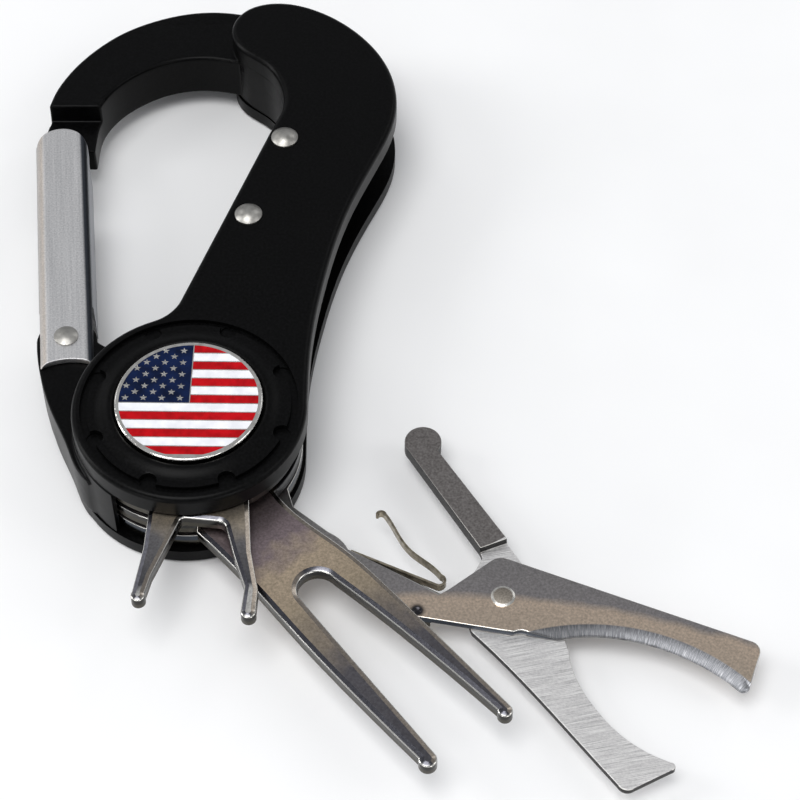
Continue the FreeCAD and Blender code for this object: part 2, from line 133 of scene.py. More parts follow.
# corners: a painted highlight and painted shade chosen by the way a face leans, bright turned left and dark turned
# right
gateLook = {
    "light": "#EFEEEE", "dark": "#CBCBCC", "grain": mm(0.3), "turn": 6.0,
    "corners": [(0.02, "#C4C2C0"), (0.3, "#EDE4DA"), (0.44, "#F2F2F2"), (0.62, "#ECECEC"), (0.72, "#50545B"),
                (0.9, "#43474D"), (0.98, "#B4B7BC")]}


def satinAluminium():
    # aluminium sheet, brushed along the gate and satin anodised: light grey, with faint lengthwise lines,
    # a fine speckle, and the rolled corners and flanks painted lighter or darker by the way they lean: a painted
    # highlight on those turned left, painted shade on those turned right
    made, tree, shader, coord = startMaterial("aluminium satin anodised", 1.0, gateLook["light"], 0.36)
    turned = add(tree, "ShaderNodeMapping", {
        "Vector": coord.outputs["Object"], "Rotation": (0.0, 0.0, math.radians(gateLook["turn"])),
        "Scale": (1.0, 60.0, 1.0)},
        vector_type="TEXTURE")
    lines = add(tree, "ShaderNodeTexNoise", {
        "Vector": turned.outputs["Vector"], "Scale": 3600.0, "Detail": 3.0})
    speckle = add(tree, "ShaderNodeTexNoise", {
        "Vector": coord.outputs["Object"], "Scale": 1.0 / gateLook["grain"], "Detail": 4.0})
    faint = add(tree, "ShaderNodeMath", {0: lines.outputs["Fac"], 1: 0.35}, operation="MULTIPLY")
    halved = add(tree, "ShaderNodeMath", {
        0: speckle.outputs["Fac"], 1: 0.65, 2: faint.outputs["Value"]}, operation="MULTIPLY_ADD")
    colour = add(tree, "ShaderNodeValToRGB", {"Fac": halved.outputs["Value"]})
    stops(colour, [(0.35, gateLook["dark"]), (0.65, gateLook["light"])])
    # painted light: the colour follows which way each face leans, a painted highlight to the left and painted shade
    # to the right
    lean = add(tree, "ShaderNodeVectorMath", {
        0: coord.outputs["Normal"], 1: Vector(direction(gateLook["turn"]))}, operation="DOT_PRODUCT")
    side = add(tree, "ShaderNodeMapRange", {"Value": lean.outputs["Value"], "From Min": -1.0, "From Max": 1.0})
    paintedSideLight = add(tree, "ShaderNodeValToRGB", {"Fac": side.outputs["Result"]})
    stops(paintedSideLight, gateLook["corners"])
    shaded = add(tree, "ShaderNodeMix", {
        0: 1.0, 6: colour.outputs["Color"], 7: paintedSideLight.outputs["Color"]}, data_type="RGBA",
        blend_type="MULTIPLY")
    tree.links.new(shaded.outputs[2], shader.inputs["Base Color"])
    roughen(tree, shader, halved.outputs["Value"], 0.4, 0.56)
    dent(tree, shader, halved.outputs["Value"], mm(0.01), 0.5)
    return made


polished = {"light": "#B2B0AB", "dark": "#979590", "scratch": 900.0}


def polishedSteel(name, light, dark, low, high):
    # stainless steel, polished: bright, with hairline marks and slight waves
    made, tree, shader, coord = startMaterial(name, 1.0, light, low)
    hair = add(tree, "ShaderNodeMapping", {
        "Vector": coord.outputs["Object"], "Rotation": (0.0, 0.0, 0.5), "Scale": (1.0, 8.0, 1.0)},
        vector_type="TEXTURE")
    marks = add(tree, "ShaderNodeTexNoise", {
        "Vector": hair.outputs["Vector"], "Scale": polished["scratch"] * 2.5, "Detail": 3.0})
    waves = add(tree, "ShaderNodeTexNoise", {
        "Vector": coord.outputs["Object"], "Scale": polished["scratch"], "Detail": 2.0})
    colour = add(tree, "ShaderNodeValToRGB", {"Fac": waves.outputs["Fac"]})
    stops(colour, [(0.3, dark), (0.6, light)])
    tree.links.new(colour.outputs["Color"], shader.inputs["Base Color"])
    roughen(tree, shader, marks.outputs["Fac"], low, high)
    dent(tree, shader, marks.outputs["Fac"], mm(0.004), 0.3)
    return made


def facedSteel(name, face, rim):
    # steel rivet: the domed head painted dull and dark in the middle as painted shade for a flat face, and bright
    # where it rounds over as a painted highlight
    made = polishedSteel(name, rim, "#B4B1AB", 0.2, 0.32)
    tree = made.node_tree
    shader = tree.nodes["Principled BSDF"]
    coord = add(tree, "ShaderNodeTexCoord")
    facing = add(tree, "ShaderNodeSeparateXYZ", {"Vector": coord.outputs["Normal"]})
    upright = add(tree, "ShaderNodeMath", {0: facing.outputs["Z"]}, operation="ABSOLUTE")
    paintedFaceMask = add(tree, "ShaderNodeMapRange", {
        "Value": upright.outputs["Value"], "From Min": 0.958, "From Max": 0.966})
    grit = add(tree, "ShaderNodeTexNoise", {"Vector": coord.outputs["Object"], "Scale": 4000.0, "Detail": 3.0})
    dull = add(tree, "ShaderNodeValToRGB", {"Fac": grit.outputs["Fac"]})
    stops(dull, [(0.3, face), (0.7, "#A39C92")])
    colour = add(tree, "ShaderNodeMix", {
        0: paintedFaceMask.outputs["Result"], 6: shader.inputs["Base Color"].links[0].from_socket,
        7: dull.outputs["Color"]}, data_type="RGBA")
    tree.links.new(colour.outputs[2], shader.inputs["Base Color"])
    rough = add(tree, "ShaderNodeMix", {
        0: paintedFaceMask.outputs["Result"], 2: shader.inputs["Roughness"].links[0].from_socket, 3: 0.55},
        data_type="FLOAT")
    tree.links.new(rough.outputs[0], shader.inputs["Roughness"])
    return made


def enamel(name, deep, light):
    # soft enamel baked in a struck pocket: glossy, colour a little uneven, surface faintly dished
    made, tree, shader, coord = startMaterial(name, 0.0, light, 0.18)
    pool = add(tree, "ShaderNodeTexNoise", {"Vector": coord.outputs["Object"], "Scale": 420.0, "Detail": 3.0})
    colour = add(tree, "ShaderNodeValToRGB", {"Fac": pool.outputs["Fac"]})
    stops(colour, [(0.35, deep), (0.62, light)])
    tree.links.new(colour.outputs["Color"], shader.inputs["Base Color"])
    roughen(tree, shader, pool.outputs["Fac"], 0.16, 0.32)
    dent(tree, shader, pool.outputs["Fac"], mm(0.03), 0.4)
    shader.inputs["Specular IOR Level"].default_value = 0.15
    shader.inputs["Coat Weight"].default_value = 0.03
    shader.inputs["Coat Roughness"].default_value = 0.08
    return made


# colours: the bright one on rounded edges is a painted highlight, the slate one a painted reflection on shoulders
# facing front-left, the wall one painted shade, the broken one a dull band darkened as painted shade, the last one
# painted shade inside the hub
tumbled = {"edge": "#DAD8D3", "slate": "#535359", "grey": "#9A9187", "brokenAndShaded": "#4A4740", "wall": "#3C3B39",
           "paintedHubShade": "#1B1B1D", "grain": mm(0.4), "blur": mm(5.0)}


def tumbledSteel(name, along, reach, shear, colours):
    # stainless steel, blanked and tumbled: dark mottled flats with brown and slate tints, a painted highlight where
    # it is rounded, painted shade on the walls, and the lower part of each edge left dull where the blank broke from
    # the sheet, its colour darkened as painted shade
    made, tree, shader, coord = startMaterial(name, 1.0, tumbled["edge"], 0.25)
    spot = coord.outputs["Object"]
    speckle = add(tree, "ShaderNodeTexNoise", {
        "Vector": spot, "Scale": 1.0 / tumbled["grain"], "Detail": 4.0, "Roughness": 0.65})
    cloud = add(tree, "ShaderNodeTexNoise", {"Vector": spot, "Scale": 1.0 / tumbled["blur"], "Detail": 2.0})
    run = add(tree, "ShaderNodeVectorMath", {0: spot, 1: Vector(along)}, operation="DOT_PRODUCT")
    drift = add(tree, "ShaderNodeMath", {
        0: cloud.outputs["Fac"], 1: reach * 0.16, 2: run.outputs["Value"]}, operation="MULTIPLY_ADD")
    place = add(tree, "ShaderNodeMapRange", {
        "Value": drift.outputs["Value"], "From Min": 0.0, "From Max": reach})
    tint = add(tree, "ShaderNodeValToRGB", {"Fac": place.outputs["Result"]})
    stops(tint, colours)
    grainTone = add(tree, "ShaderNodeMapRange", {
        "Value": speckle.outputs["Fac"], "From Min": 0.3, "From Max": 0.7, "To Min": 0.72, "To Max": 1.28})
    flat = add(tree, "ShaderNodeVectorMath", {
        0: tint.outputs["Color"], "Scale": grainTone.outputs["Result"]}, operation="SCALE")
    facing = add(tree, "ShaderNodeSeparateXYZ", {"Vector": coord.outputs["Normal"]})
    upright = add(tree, "ShaderNodeMath", {0: facing.outputs["Z"]}, operation="ABSOLUTE")
    level = add(tree, "ShaderNodeMapRange", {
        "Value": upright.outputs["Value"], "From Min": 0.984, "From Max": 0.996},
        interpolation_type="SMOOTHSTEP")
    turning = add(tree, "ShaderNodeMapRange", {
        "Value": upright.outputs["Value"], "From Min": 0.88, "From Max": 0.955},
        interpolation_type="SMOOTHSTEP")
    # painted reflection on the sloped shoulders: those facing front-left take the darker slate, the rest the lighter
    # grey
    lean = add(tree, "ShaderNodeVectorMath", {
        0: coord.outputs["Normal"], 1: Vector(direction(-135.0))}, operation="DOT_PRODUCT")
    paintedSideMask = add(tree, "ShaderNodeMapRange", {
        "Value": lean.outputs["Value"], "From Min": -0.04, "From Max": 0.06})
    band = add(tree, "ShaderNodeMix", {
        0: paintedSideMask.outputs["Result"], 6: paint(tumbled["grey"]), 7: paint(tumbled["slate"])}, data_type="RGBA")
    mottled = add(tree, "ShaderNodeVectorMath", {
        0: band.outputs[2], "Scale": grainTone.outputs["Result"]}, operation="SCALE")
    # painted highlight on the rounded edges and painted shade on the steep walls
    steep = add(tree, "ShaderNodeMapRange", {
        "Value": upright.outputs["Value"], "From Min": 0.3, "From Max": 0.5}, interpolation_type="SMOOTHSTEP")
    paintedEdgeLight = add(tree, "ShaderNodeMix", {
        0: steep.outputs["Result"], 6: paint(tumbled["wall"]), 7: paint(tumbled["edge"])}, data_type="RGBA")
    shoulder = add(tree, "ShaderNodeMix", {
        0: turning.outputs["Result"], 6: paintedEdgeLight.outputs[2], 7: mottled.outputs["Vector"]}, data_type="RGBA")
    # the lower band of each wall: duller where the blank broke, and its colour darkened as painted shade
    height = add(tree, "ShaderNodeSeparateXYZ", {"Vector": spot})
    ragged = add(tree, "ShaderNodeMath", {
        0: cloud.outputs["Fac"], 1: mm(-0.5), 2: height.outputs["Z"]}, operation="MULTIPLY_ADD")
    brokenAndShaded = add(tree, "ShaderNodeMapRange", {
        "Value": ragged.outputs["Value"], "From Min": shear - mm(0.35), "From Max": shear - mm(0.2)})
    wall = add(tree, "ShaderNodeMix", {
        0: brokenAndShaded.outputs["Result"], 6: paint(tumbled["brokenAndShaded"]), 7: shoulder.outputs[2]}, data_type="RGBA")
    # painted shade: walls right of the pivot and inside the hub are painted near black
    rightSide = add(tree, "ShaderNodeMapRange", {
        "Value": height.outputs["X"], "From Min": mm(11.0), "From Max": mm(15.0)})
    fromAxis = add(tree, "ShaderNodeVectorMath", {0: spot}, operation="LENGTH")
    inHub = add(tree, "ShaderNodeMapRange", {
        "Value": fromAxis.outputs["Value"], "From Min": mm(23.5), "From Max": mm(22.5)})
    paintedHubShadeMask = add(tree, "ShaderNodeMath", {
        0: rightSide.outputs["Result"], 1: inHub.outputs["Result"]}, operation="MULTIPLY")
    wall = add(tree, "ShaderNodeMix", {
        0: paintedHubShadeMask.outputs["Value"], 6: wall.outputs[2], 7: paint(tumbled["paintedHubShade"])}, data_type="RGBA")
    colour = add(tree, "ShaderNodeMix", {
        0: level.outputs["Result"], 6: wall.outputs[2], 7: flat.outputs["Vector"]}, data_type="RGBA")
    tree.links.new(colour.outputs[2], shader.inputs["Base Color"])
    edgeRough = add(tree, "ShaderNodeMix", {0: brokenAndShaded.outputs["Result"], 2: 0.38, 3: 0.19}, data_type="FLOAT")
    rough = add(tree, "ShaderNodeMix", {
        0: level.outputs["Result"], 2: edgeRough.outputs[0], 3: 0.34}, data_type="FLOAT")
    tree.links.new(rough.outputs[0], shader.inputs["Roughness"])
    dent(tree, shader, speckle.outputs["Fac"], mm(0.02), 0.35)
    return made


grinding = {"light": "#F4F2F0", "dark": "#B2B1B1", "line": mm(0.1), "stretch": 70.0}


def groundBlade(turn, step, stepTurn, handle):
    # stainless steel, ground across the blade: fine light and dark lines, with the lever left tumbled
    made, tree, shader, coord = startMaterial("stainless steel ground across", 1.0, grinding["light"], 0.3)
    spot = coord.outputs["Object"]
    turned = add(tree, "ShaderNodeMapping", {
        "Vector": spot, "Rotation": (0.0, 0.0, math.radians(turn)), "Scale": (grinding["stretch"], 1.0, 1.0)},
        vector_type="TEXTURE")
    lines = add(tree, "ShaderNodeTexNoise", {
        "Vector": turned.outputs["Vector"], "Scale": 1.0 / grinding["line"], "Detail": 5.0, "Roughness": 0.7})
    grit = add(tree, "ShaderNodeTexNoise", {"Vector": spot, "Scale": 1.0 / tumbled["grain"], "Detail": 4.0})
    share = add(tree, "ShaderNodeMath", {0: grit.outputs["Fac"], 1: 0.15}, operation="MULTIPLY")
    tone = add(tree, "ShaderNodeMath", {
        0: lines.outputs["Fac"], 1: 0.85, 2: share.outputs["Value"]}, operation="MULTIPLY_ADD")
    bright = add(tree, "ShaderNodeValToRGB", {"Fac": tone.outputs["Value"]})
    stops(bright, [(0.36, grinding["dark"]), (0.48, "#DDDBDA"), (0.6, "#FBFAF8")])
    dull = add(tree, "ShaderNodeValToRGB", {"Fac": grit.outputs["Fac"]})
    stops(dull, [(0.3, handle[0]), (0.7, handle[1])])
    offset = add(tree, "ShaderNodeVectorMath", {0: spot, 1: Vector(step)}, operation="SUBTRACT")
    run = add(tree, "ShaderNodeVectorMath", {
        0: offset.outputs["Vector"], 1: direction(stepTurn)}, operation="DOT_PRODUCT")
    isHandle = add(tree, "ShaderNodeMapRange", {
        "Value": run.outputs["Value"], "From Min": 0.0, "From Max": mm(0.15)})
    facing = add(tree, "ShaderNodeSeparateXYZ", {"Vector": coord.outputs["Normal"]})
    upright = add(tree, "ShaderNodeMath", {0: facing.outputs["Z"]}, operation="ABSOLUTE")
    level = add(tree, "ShaderNodeMapRange", {
        "Value": upright.outputs["Value"], "From Min": 0.75, "From Max": 0.97})
    top = add(tree, "ShaderNodeMix", {
        0: isHandle.outputs["Result"], 6: bright.outputs["Color"], 7: dull.outputs["Color"]}, data_type="RGBA")
    # painted shade on the walls and a painted highlight on the rounded corners between wall and face
    corner = add(tree, "ShaderNodeMapRange", {
        "Value": upright.outputs["Value"], "From Min": 0.2, "From Max": 0.45})
    side = add(tree, "ShaderNodeMix", {
        0: corner.outputs["Result"], 6: paint("#3C3B3B"), 7: paint(tumbled["edge"])}, data_type="RGBA")
    colour = add(tree, "ShaderNodeMix", {
        0: level.outputs["Result"], 6: side.outputs[2], 7: top.outputs[2]}, data_type="RGBA")
    tree.links.new(colour.outputs[2], shader.inputs["Base Color"])
    roughen(tree, shader, tone.outputs["Value"], 0.36, 0.58)
    dent(tree, shader, tone.outputs["Value"], mm(0.012), 0.5)
    return made


def armSteel(split, fall, sag, dimple, centre, radius, width):
    # the cutter's arm: tumbled flats, tan below and slate above, and a bevel ground across beside the cutting arc
    made, tree, shader, coord = startMaterial(
        "stainless steel tumbled with ground bevel", 1.0, tumbled["edge"], 0.3)
    spot = coord.outputs["Object"]
    speckle = add(tree, "ShaderNodeTexNoise", {
        "Vector": spot, "Scale": 1.0 / tumbled["grain"], "Detail": 4.0, "Roughness": 0.65})
    cloud = add(tree, "ShaderNodeTexNoise", {"Vector": spot, "Scale": 1.0 / tumbled["blur"], "Detail": 2.0})
    offset = add(tree, "ShaderNodeVectorMath", {0: spot, 1: Vector(split)}, operation="SUBTRACT")
    slant = add(tree, "ShaderNodeVectorMath", {
        0: offset.outputs["Vector"], 1: Vector(fall)}, operation="DOT_PRODUCT")
    along = add(tree, "ShaderNodeSeparateXYZ", {"Vector": offset.outputs["Vector"]})
    square = add(tree, "ShaderNodeMath", {0: along.outputs["X"], 1: along.outputs["X"]}, operation="MULTIPLY")
    drop = add(tree, "ShaderNodeMath", {
        0: square.outputs["Value"], 1: -sag, 2: slant.outputs["Value"]}, operation="MULTIPLY_ADD")
    drift = add(tree, "ShaderNodeMath", {
        0: cloud.outputs["Fac"], 1: mm(1.6), 2: drop.outputs["Value"]}, operation="MULTIPLY_ADD")
    place = add(tree, "ShaderNodeMapRange", {
        "Value": drift.outputs["Value"], "From Min": mm(-8.0), "From Max": mm(8.0)})
    tint = add(tree, "ShaderNodeValToRGB", {"Fac": place.outputs["Result"]})
    stops(tint, [(0.0, "#918E8D"), (0.47, "#969292"), (0.56, "#D0BDAA"), (1.0, "#C2B3A2")])
    grainTone = add(tree, "ShaderNodeMapRange", {
        "Value": speckle.outputs["Fac"], "From Min": 0.3, "From Max": 0.7, "To Min": 0.74, "To Max": 1.26})
    flat = add(tree, "ShaderNodeVectorMath", {
        0: tint.outputs["Color"], "Scale": grainTone.outputs["Result"]}, operation="SCALE")
    # lines that run out from the arc's centre
    fromCentre = add(tree, "ShaderNodeVectorMath", {0: spot, 1: Vector(centre)}, operation="SUBTRACT")
    parts = add(tree, "ShaderNodeSeparateXYZ", {"Vector": fromCentre.outputs["Vector"]})
    angle = add(tree, "ShaderNodeMath", {0: parts.outputs["Y"], 1: parts.outputs["X"]}, operation="ARCTAN2")
    level2d = add(tree, "ShaderNodeVectorMath", {
        0: fromCentre.outputs["Vector"], 1: (1.0, 1.0, 0.0)}, operation="MULTIPLY")
    out = add(tree, "ShaderNodeVectorMath", {0: level2d.outputs["Vector"]}, operation="LENGTH")
    arcRun = add(tree, "ShaderNodeMath", {0: angle.outputs["Value"], 1: radius}, operation="MULTIPLY")
    short = add(tree, "ShaderNodeMath", {0: out.outputs["Value"], 1: 0.05}, operation="MULTIPLY")
    fan = add(tree, "ShaderNodeCombineXYZ", {"X": arcRun.outputs["Value"], "Y": short.outputs["Value"]})
    streak = add(tree, "ShaderNodeTexNoise", {
        "Vector": fan.outputs["Vector"], "Scale": 1.0 / grinding["line"], "Detail": 5.0, "Roughness": 0.7})
    ground = add(tree, "ShaderNodeValToRGB", {"Fac": streak.outputs["Fac"]})
    stops(ground, [(0.3, "#4C4D50"), (0.5, "#6C6D70"), (0.7, "#AAAAAC")])
    lighter = add(tree, "ShaderNodeMapRange", {
        "Value": along.outputs["X"], "From Min": mm(22.0), "From Max": mm(48.0), "To Min": 0.92, "To Max": 2.1})
    ground = add(tree, "ShaderNodeVectorMath", {
        0: ground.outputs["Color"], "Scale": lighter.outputs["Result"]}, operation="SCALE")
    facing = add(tree, "ShaderNodeSeparateXYZ", {"Vector": coord.outputs["Normal"]})
    upright = add(tree, "ShaderNodeMath", {0: facing.outputs["Z"]}, operation="ABSOLUTE")
    level = add(tree, "ShaderNodeMapRange", {
        "Value": upright.outputs["Value"], "From Min": 0.93, "From Max": 0.985})
    inside = add(tree, "ShaderNodeMapRange", {
        "Value": out.outputs["Value"], "From Min": radius + width, "From Max": radius + width + mm(0.2),
        "To Min": 1.0, "To Max": 0.0})
    sloped = add(tree, "ShaderNodeMapRange", {
        "Value": upright.outputs["Value"], "From Min": 0.3, "From Max": 0.4})
    isGround = add(tree, "ShaderNodeMath", {
        0: inside.outputs["Result"], 1: sloped.outputs["Result"]}, operation="MULTIPLY")
    # painted shade on the walls, the lower band also duller where the blank broke, and a painted highlight on the
    # rounded corners
    height = add(tree, "ShaderNodeMapRange", {
        "Value": parts.outputs["Z"], "From Min": mm(4.9), "From Max": mm(5.0)})
    wall = add(tree, "ShaderNodeMix", {
        0: height.outputs["Result"], 6: paint(tumbled["brokenAndShaded"]), 7: paint("#3F444C")}, data_type="RGBA")
    corner = add(tree, "ShaderNodeMapRange", {
        "Value": upright.outputs["Value"], "From Min": 0.15, "From Max": 0.4})
    side = add(tree, "ShaderNodeMix", {
        0: corner.outputs["Result"], 6: wall.outputs[2], 7: paint(tumbled["edge"])}, data_type="RGBA")
    topWithPaintedEdges = add(tree, "ShaderNodeMix", {
        0: level.outputs["Result"], 6: side.outputs[2], 7: flat.outputs["Vector"]}, data_type="RGBA")
    # painted shade in the dimple
    toDimple = add(tree, "ShaderNodeVectorMath", {0: spot, 1: Vector(dimple)}, operation="DISTANCE")
    dimpleShadeMask = add(tree, "ShaderNodeMapRange", {
        "Value": toDimple.outputs["Value"], "From Min": mm(1.5), "From Max": mm(0.8)})
    dimpleShaded = add(tree, "ShaderNodeMix", {
        0: dimpleShadeMask.outputs["Result"], 6: topWithPaintedEdges.outputs[2], 7: paint("#38373A")}, data_type="RGBA")
    colour = add(tree, "ShaderNodeMix", {
        0: isGround.outputs["Value"], 6: dimpleShaded.outputs[2], 7: ground.outputs["Vector"]}, data_type="RGBA")
    tree.links.new(colour.outputs[2], shader.inputs["Base Color"])
    roughTop = add(tree, "ShaderNodeMix", {0: level.outputs["Result"], 2: 0.15, 3: 0.34}, data_type="FLOAT")
    rough = add(tree, "ShaderNodeMix", {
        0: isGround.outputs["Value"], 2: roughTop.outputs[0], 3: 0.55}, data_type="FLOAT")
    tree.links.new(rough.outputs[0], shader.inputs["Roughness"])
    dent(tree, shader, speckle.outputs["Fac"], mm(0.02), 0.35)
    return made


black = blackAnodised()
gateMetal = satinAluminium()
rivetMetal = polishedSteel("stainless steel polished", polished["light"], polished["dark"], 0.32, 0.46)
paintedFaceRivetMetal = facedSteel("steel rivet with painted dark face", "#7E776E", "#E4E2DC")
coinMetal = polishedSteel("nickel plated brass polished", "#EAE8E3", "#CFCCC6", 0.08, 0.18)
springMetal = polishedSteel("spring steel tempered", "#A59C8A", "#6F6758", 0.22, 0.4)
innerMetal = polishedSteel("steel turned", "#9A9894", "#757370", 0.28, 0.45)
redEnamel = enamel("enamel red", "#96040C", "#BC0814")
whiteEnamel = enamel("enamel white", "#E4E5EA", "#F4F5F8")
blueEnamel = enamel("enamel navy", "#04102A", "#0A1C42")
forkMetal = tumbledSteel(
    "stainless steel tumbled fork", direction(-51.0), mm(85.0), mm(8.5),
    [(0.0, "#8B7F80"), (0.4, "#9A8B8E"), (0.46, "#CBB8A0"), (0.56, "#BBAB94"), (0.72, "#6A686C"), (0.95, "#5A595E")])
wrenchMetal = tumbledSteel(
    "stainless steel tumbled wrench", direction(-90.0), mm(42.0), mm(12.15),
    [(0.0, "#8C8180"), (0.45, "#A29A91"), (0.54, "#BFB29F"), (0.66, "#7C7A7B"), (0.86, "#5A5A5E"), (0.9, "#DAD8D3")])
bladeMetal = groundBlade(12.0, (mm(51.15), mm(-20.25), 0.0), 122.0, ("#676361", "#8C8886"))
cutterMetal = armSteel(
    (mm(42.0), mm(-30.9), 0.0), direction(-90.5), 3.65, (mm(38.3), mm(-33.5), mm(6.3)),
    (mm(66.2), mm(-71.0), 0.0),
    mm(32.6), mm(2.15))

for name in ("back_scale", "front_scale", "hook_frame", "hub_dial"):
    nodes[name].data.materials[0] = black
for name in ("pivot_post", "pivot_screw", "pivot_washers", "marker_magnet"):
    nodes[name].data.materials[0] = innerMetal
for name in ("scale_rivets", "gate_rivet"):
    nodes[name].data.materials[0] = rivetMetal
nodes["cutter_rivet"].data.materials[0] = paintedFaceRivetMetal
for name, finish in (
        ("gate_channel", gateMetal), ("gate_spring", springMetal), ("cutter_spring", springMetal),
        ("cleat_wrench", wrenchMetal), ("divot_fork", forkMetal), ("cutter_arm", cutterMetal),
        ("cutter_blade", bladeMetal), ("marker_coin", coinMetal), ("enamel_red", redEnamel),
        ("enamel_white", whiteEnamel), ("enamel_blue", blueEnamel)):
    nodes[name].data.materials[0] = finish
print("finishes made")


# ---- rounded tools and frame

def plainMesh(name, points, faces, finish):
    mesh = bpy.data.meshes.new(name)
    mesh.from_pydata(points, [], faces)
    mesh.materials.append(finish)
    made = bpy.data.objects.new(name, mesh)
    scene.collection.objects.link(made)
    return made


def applied(piece, sharp):
    # turns the modifiers into a plain mesh, smooth except at edges sharper than the angle
    shaped = piece.evaluated_get(bpy.context.evaluated_depsgraph_get())
    mesh = bpy.data.meshes.new_from_object(shaped)
    piece.modifiers.clear()
    old = piece.data
    piece.data = mesh
    bpy.data.meshes.remove(old)
    mesh.name = piece.name
    mesh.polygons.foreach_set("use_smooth", [True] * len(mesh.polygons))
    mesh.set_sharp_from_angle(angle=math.radians(sharp))
    return piece


def rounded(name, bm, finish, width, segments):
    # bevels every edge that carries a bevel weight
    points = [v.co.copy() for v in bm.verts]
    bm.verts.index_update()
    layer = bm.edges.layers.float.get("bevel_weight_edge")
    weights = {tuple(sorted((e.verts[0].index, e.verts[1].index))): e[layer] for e in bm.edges}
    faces = [[v.index for v in f.verts] for f in bm.faces]
    bm.free()
    piece = plainMesh(name, points, faces, finish)
    mesh = piece.data
    attribute = mesh.attributes.new("bevel_weight_edge", "FLOAT", "EDGE")
    for edge in mesh.edges:
        attribute.data[edge.index].value = weights.get(tuple(sorted(edge.vertices)), 0.0)
    mesh.polygons.foreach_set("use_smooth", [True] * len(mesh.polygons))
    bevel = piece.modifiers.new("edges", "BEVEL")
    bevel.limit_method = "WEIGHT"
    bevel.width = width
    bevel.segments = segments
    bevel.use_clamp_overlap = False
    bevel.miter_outer = "MITER_ARC"
    even = piece.modifiers.new("even", "WEIGHTED_NORMAL")
    even.keep_sharp = True
    return piece


def gathered(node):
    # a merged copy of a node's mesh, with its flat faces joined
    bm = bmesh.new()
    bm.from_mesh(node.data)
    for key in list(bm.loops.layers.float_vector.keys()):
        bm.loops.layers.float_vector.remove(bm.loops.layers.float_vector[key])
    bmesh.ops.remove_doubles(bm, verts=bm.verts, dist=mm(0.002))
    bmesh.ops.dissolve_limit(bm, angle_limit=math.radians(0.05), verts=bm.verts, edges=bm.edges)
    bm.edges.layers.float.new("bevel_weight_edge")
    return bm


def softened(nodeName, pieceName, finish, width, segments=3, sharp=32.0, shortAfter=1.0):
    # copy of a node with every sharp edge rounded, except very short ones beyond shortAfter along X
    bm = gathered(nodes[nodeName])
    layer = bm.edges.layers.float["bevel_weight_edge"]
    for edge in bm.edges:
        tiny = edge.calc_length() < width and edge.verts[0].co.x > shortAfter
        if len(edge.link_faces) == 2 and edge.calc_face_angle() > math.radians(sharp) and not tiny:
            edge[layer] = 1.0
    piece = applied(rounded(pieceName, bm, finish, width, segments), 40.0)
    # points thrown out where a very short edge was rounded go back to the node's surface
    source = bmesh.new()
    source.from_mesh(nodes[nodeName].data)
    surface = BVHTree.FromBMesh(source)
    source.free()
    for vertex in piece.data.vertices:
        place, normal, index, gap = surface.find_nearest(vertex.co)
        if gap > width:
            vertex.co = place
    return piece


def plateFromFoot(nodeName, pieceName, finish, shoulder, width, segments, lowShare, hubRadius, hubShare):
    # the node's flat underside pulled up to its top, with a full rounding above and a smaller one below
    low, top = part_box(nodeName)
    bm = gathered(nodes[nodeName])
    layer = bm.edges.layers.float["bevel_weight_edge"]
    upper = [f for f in bm.faces if max(v.co.z for v in f.verts) > low[2] + mm(0.01)]
    bmesh.ops.delete(bm, geom=upper, context="FACES")
    foot = list(bm.faces)
    outline = [e for e in bm.edges if len(e.link_faces) == 1]
    lifted = bmesh.ops.extrude_face_region(bm, geom=foot, use_keep_orig=True)["geom"]
    height = top[2] - low[2]
    for item in lifted:
        if isinstance(item, bmesh.types.BMVert):
            item.co.z += height
    bmesh.ops.recalc_face_normals(bm, faces=bm.faces)
    # the top slopes gently to its edge; a narrow ring on each side keeps the turn crisp
    crown = [item for item in lifted if isinstance(item, bmesh.types.BMFace)]
    crease = toolEdges["crease"]
    for gap, fall in ((shoulder - crease, 1.0), (crease, crease / shoulder), (crease, 0.0)):
        ring = bmesh.ops.inset_region(bm, faces=crown, thickness=gap, depth=0.0, use_even_offset=True)["faces"]
        inner = {v for f in crown for v in f.verts}
        for vert in {v for f in ring for v in f.verts} - inner:
            vert.co.z = top[2] - toolEdges["sink"] * fall
    for edge in bm.edges:
        if len(edge.link_faces) != 2 or edge.calc_face_angle() < math.radians(60.0):
            continue
        a, b = (v.co for v in edge.verts)
        if abs(a.z - b.z) > mm(0.1):
            continue
        inHub = max(math.hypot(a.x, a.y), math.hypot(b.x, b.y)) < hubRadius
        share = hubShare if inHub else 1.0
        edge[layer] = share * (1.0 if a.z > low[2] + height / 2.0 else lowShare)
    return applied(rounded(pieceName, bm, finish, width, segments), 40.0)


toolEdges = {
    "fork": mm(0.24), "wrench": mm(0.2), "arm": mm(0.22), "blade": mm(0.15), "hook": mm(0.35), "gate": mm(0.18),
    "shoulder": mm(0.9), "wrenchShoulder": mm(0.78), "sink": mm(0.24), "crease": mm(0.03), "steps": 4,
    "low": 0.6,
    "hub": mm(19.6), "hubShare": 0.4, "armTip": mm(85.0)}

